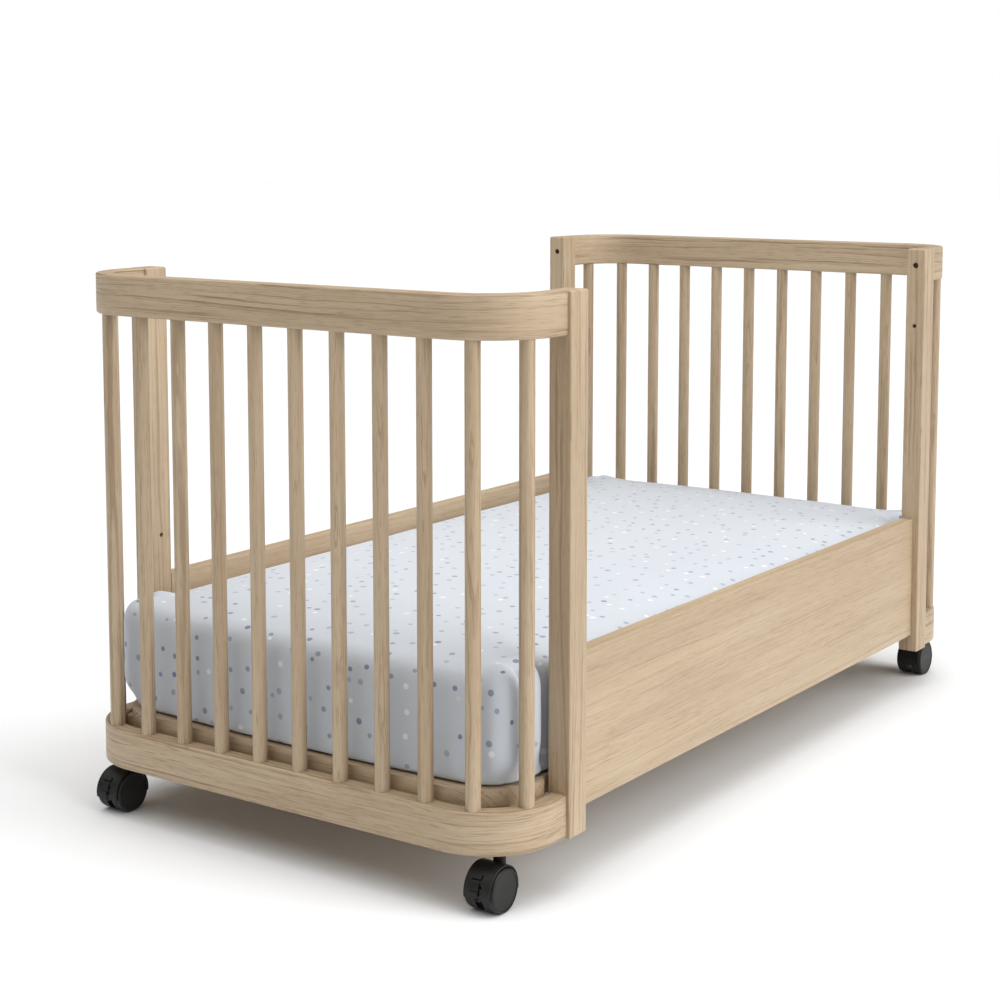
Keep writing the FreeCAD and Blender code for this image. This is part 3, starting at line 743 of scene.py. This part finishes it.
def rounded_outline(half_x, half_y, radius, step):
    """Points, at even steps, round a rectangle with round corners."""
    arc = radius * math.pi / 2
    sides = (2 * (half_y - radius), 2 * (half_x - radius))
    total = 2 * (sides[0] + sides[1]) + 4 * arc
    count = round(total / step)
    points = []
    for i in range(count):
        left = i * total / count
        for quarter in range(4):
            straight = sides[quarter % 2]
            if left < straight + arc:
                break
            left -= straight + arc
        along = min(left, straight) - straight / 2
        turn = max(left - straight, 0) / radius
        out = (half_x, half_y)[quarter % 2] - radius + radius * math.cos(turn)
        side = along + radius * math.sin(turn)
        heading = quarter * math.pi / 2
        place = Matrix.Rotation(heading, 2) @ Vector((out, side))
        normal = Matrix.Rotation(heading + turn, 2) @ Vector((1, 0))
        points.append((place, normal))
    return points


def make_hem(half_x, half_y, base):
    """Elastic tape sewn round the opening of the fitted sheet, gathered in short waves."""
    outline = rounded_outline(half_x - SHEET_TUCK, half_y - SHEET_TUCK, HEM_CORNER, HEM_STEP)
    points = []
    for i, (place, normal) in enumerate(outline):
        wave = math.sin(2 * math.pi * i * HEM_STEP / HEM_GATHER)
        half_width = HEM_WIDTH / 2 + HEM_WAVE * wave
        for across, up in ((-1, -1), (1, -1), (1, 1), (-1, 1)):
            edge = place + normal * across * half_width
            points.append((edge.x, edge.y, base + up * HEM_THICKNESS / 2))
    faces = []
    for i in range(len(outline)):
        here = 4 * i
        there = 4 * ((i + 1) % len(outline))
        for j in range(4):
            k = (j + 1) % 4
            faces.append((here + j, there + j, there + k, here + k))
    hem = mesh_object("elastic_hem", points, faces)
    solid = bmesh.new()
    solid.from_mesh(hem.data)
    bmesh.ops.recalc_face_normals(solid, faces=solid.faces)
    solid.to_mesh(hem.data)
    solid.free()
    return hem


# ---- making -------------------------------------------------------------------------------
make_camera()
make_studio()

GRAINS = {
    "foot_top_rail": "foot", "foot_bottom_rail": "foot", "foot_dowels": "z",
    "head_top_rail": "head", "head_bottom_rail": "head", "head_dowels": "z",
    "front_panel": "x", "rear_panel": "x", "front_ledger": "x", "rear_ledger": "x",
    "base_board": "y",
}
for end, side in CORNERS:
    GRAINS[f"{end}_{side}_post"] = "z"
    GRAINS[f"{end}_{side}_corner_block"] = "flat"

FIGURES = {"rail": 0.78, "panel": 0.20}  # strength of the dark grain by the kind of member
OTHER_FIGURE = 0.52

black = moulded_plastic("caster_moulding", (0.0115, 0.0115, 0.0110), 0.50)
tread = moulded_plastic("wheel_moulding", (0.0140, 0.0140, 0.0135), 0.42)
steel = plated_steel("plated_steel", rgb(0.42, 0.41, 0.38), rgb(0.66, 0.65, 0.62))
bronzed = plated_steel("bronzed_steel", rgb(0.050, 0.034, 0.024), rgb(0.095, 0.066, 0.046))
for number, (name, node) in enumerate(sorted(nodes.items())):
    if name in GRAINS:
        figure = FIGURES.get(name.rsplit("_", 1)[-1], OTHER_FIGURE)
        finish = oak("oak_" + name, GRAINS[name], number * 0.731, figure)
    elif name.endswith("_wheel"):
        finish = tread
    elif name.endswith(("_hood", "_brake_lever")) or name == "caster_sockets":
        finish = black
    elif name == "rail_bolts":
        finish = bronzed
    elif name == "mattress":
        continue
    else:
        finish = steel
    for slot in node.material_slots:
        slot.material = finish

core, sheet, hem, sheet_x, sheet_y, sheet_height = make_mattress()
core.data.materials.clear()
core.data.materials.append(ticking("ticking"))
sheet.data.materials.clear()
sheet.data.materials.append(dotted_cotton("dotted_cotton"))
hem.data.materials.append(core.data.materials[0])
for piece in (core, sheet, hem):
    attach(piece, "mattress")
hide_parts("mattress")
